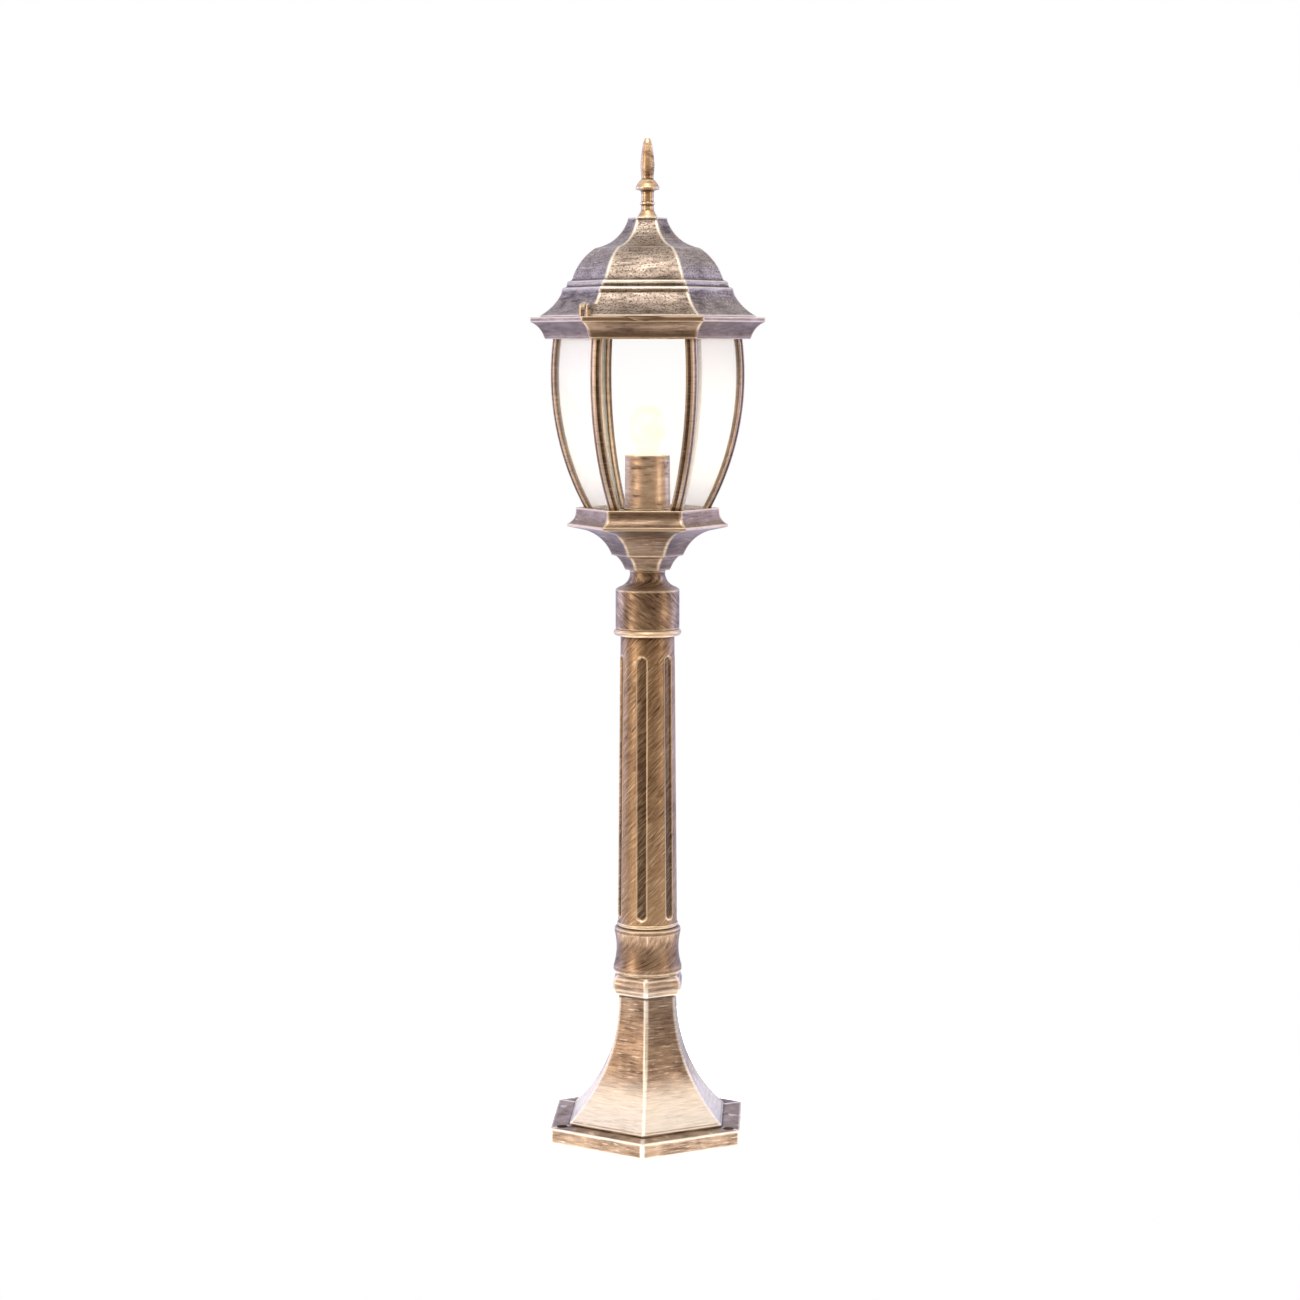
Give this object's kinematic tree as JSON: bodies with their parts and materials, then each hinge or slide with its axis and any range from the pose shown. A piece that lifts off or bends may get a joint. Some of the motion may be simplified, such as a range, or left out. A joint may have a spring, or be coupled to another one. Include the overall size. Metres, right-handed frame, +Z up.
{
  "type": "garden post lantern",
  "caption": "Cast garden post lantern: six-sided glazed head with a hinged roof on a fluted post and flared hexagonal foot; the head swivels and the lamp unscrews.",
  "frame": {"origin": "on the ground, at the centre of the foot's underside", "axes": "+Z up along the post; -Y is the front, where a flat of the head and a corner of the foot face; +X is to the right seen from the front"},
  "size_m": [0.2336, 0.22, 1.0002],
  "materials": {
    "rubbed_bronze": "antique bronze enamel on cast aluminium, dry-brushed with gold on its edges",
    "gold_sleeve": "gold enamel with bronze flecks",
    "zinc_steel": "zinc-plated",
    "brass": "plain",
    "nickel_cap": "nickel-plated lamp cap",
    "clear_glass": "clear, curved",
    "opal_glass": "opal lamp glass, lit warm white",
    "porcelain": "glazed white",
    "terminal_plastic": "moulded",
    "cable_sheath": "matt black sheath"
  },
  "bodies": {
    "post": {"foot_casting": "rubbed_bronze", "foot_bridge": "zinc_steel", "foot_washer": "zinc_steel", "foot_nut": "zinc_steel", "tie_rod": "zinc_steel", "post_cap_plate": "zinc_steel", "post_nut": "zinc_steel", "lower_collar": "rubbed_bronze", "fluted_post": "rubbed_bronze", "trim_ring": "rubbed_bronze", "terminal_block": "terminal_plastic", "inner_lead": "cable_sheath"},
    "head": {"swivel_fitter": "rubbed_bronze", "grub_screw_1": "zinc_steel", "grub_screw_2": "zinc_steel", "lantern_bowl": "rubbed_bronze", "stem_nut_low": "zinc_steel", "stem_nut_high": "zinc_steel", "holder_stem": "brass", "candle_dish": "gold_sleeve", "candle_sleeve": "gold_sleeve", "lamp_holder": "porcelain", "screw_shell": "brass", "centre_contact": "brass", "eaves_ring": "rubbed_bronze", "hinge_pin": "zinc_steel", "rib_1": "rubbed_bronze", "rib_2": "rubbed_bronze", "rib_3": "rubbed_bronze", "rib_4": "rubbed_bronze", "rib_5": "rubbed_bronze", "rib_6": "rubbed_bronze", "glass_1": "clear_glass", "glass_2": "clear_glass", "glass_3": "clear_glass", "glass_4": "clear_glass", "glass_5": "clear_glass", "glass_6": "clear_glass", "low_screw_1": "zinc_steel", "low_screw_2": "zinc_steel", "low_screw_3": "zinc_steel", "low_screw_4": "zinc_steel", "low_screw_5": "zinc_steel", "low_screw_6": "zinc_steel", "high_screw_1": "zinc_steel", "high_screw_2": "zinc_steel", "high_screw_3": "zinc_steel", "high_screw_4": "zinc_steel", "high_screw_5": "zinc_steel", "high_screw_6": "zinc_steel"},
    "roof": {"roof_shell": "rubbed_bronze", "finial": "rubbed_bronze", "finial_nut": "zinc_steel", "thumb_clip": "zinc_steel"},
    "latch": {"thumb_screw": "brass"},
    "lamp_foot": {"bulb_tip": "brass"},
    "lamp": {"bulb_cap": "nickel_cap", "bulb_globe": "opal_glass"}
  },
  "joints": [
    {"name": "head_turn", "type": "hinge", "parent": "post", "child": "head", "pos_m": [0, 0, 0.53], "axis": [0, 0, 1], "range_deg": [-170, 170]},
    {"name": "roof_hinge", "type": "hinge", "parent": "head", "child": "roof", "pos_m": [-0.05527, -0.09572, 0.8342], "axis": [0.866, -0.5, 0], "range_deg": [0, 95]},
    {"name": "latch_turn", "type": "hinge", "parent": "roof", "child": "latch", "pos_m": [0.05502, 0.09529, 0.8315], "axis": [0, 0, 1], "continuous": true},
    {"name": "lamp_climb", "type": "slide", "parent": "head", "child": "lamp_foot", "axis": [0, 0, 1], "range_m": [0, 0.02534]},
    {"name": "lamp_turn", "type": "hinge", "parent": "lamp_foot", "child": "lamp", "pos_m": [0, 0, 0.68], "axis": [0, 0, 1], "range_deg": [0, 2520]}
  ],
  "couplings": [
    {"joint": "lamp_turn", "follows": "lamp_climb", "rad_per_m": 1735.7}
  ]
}
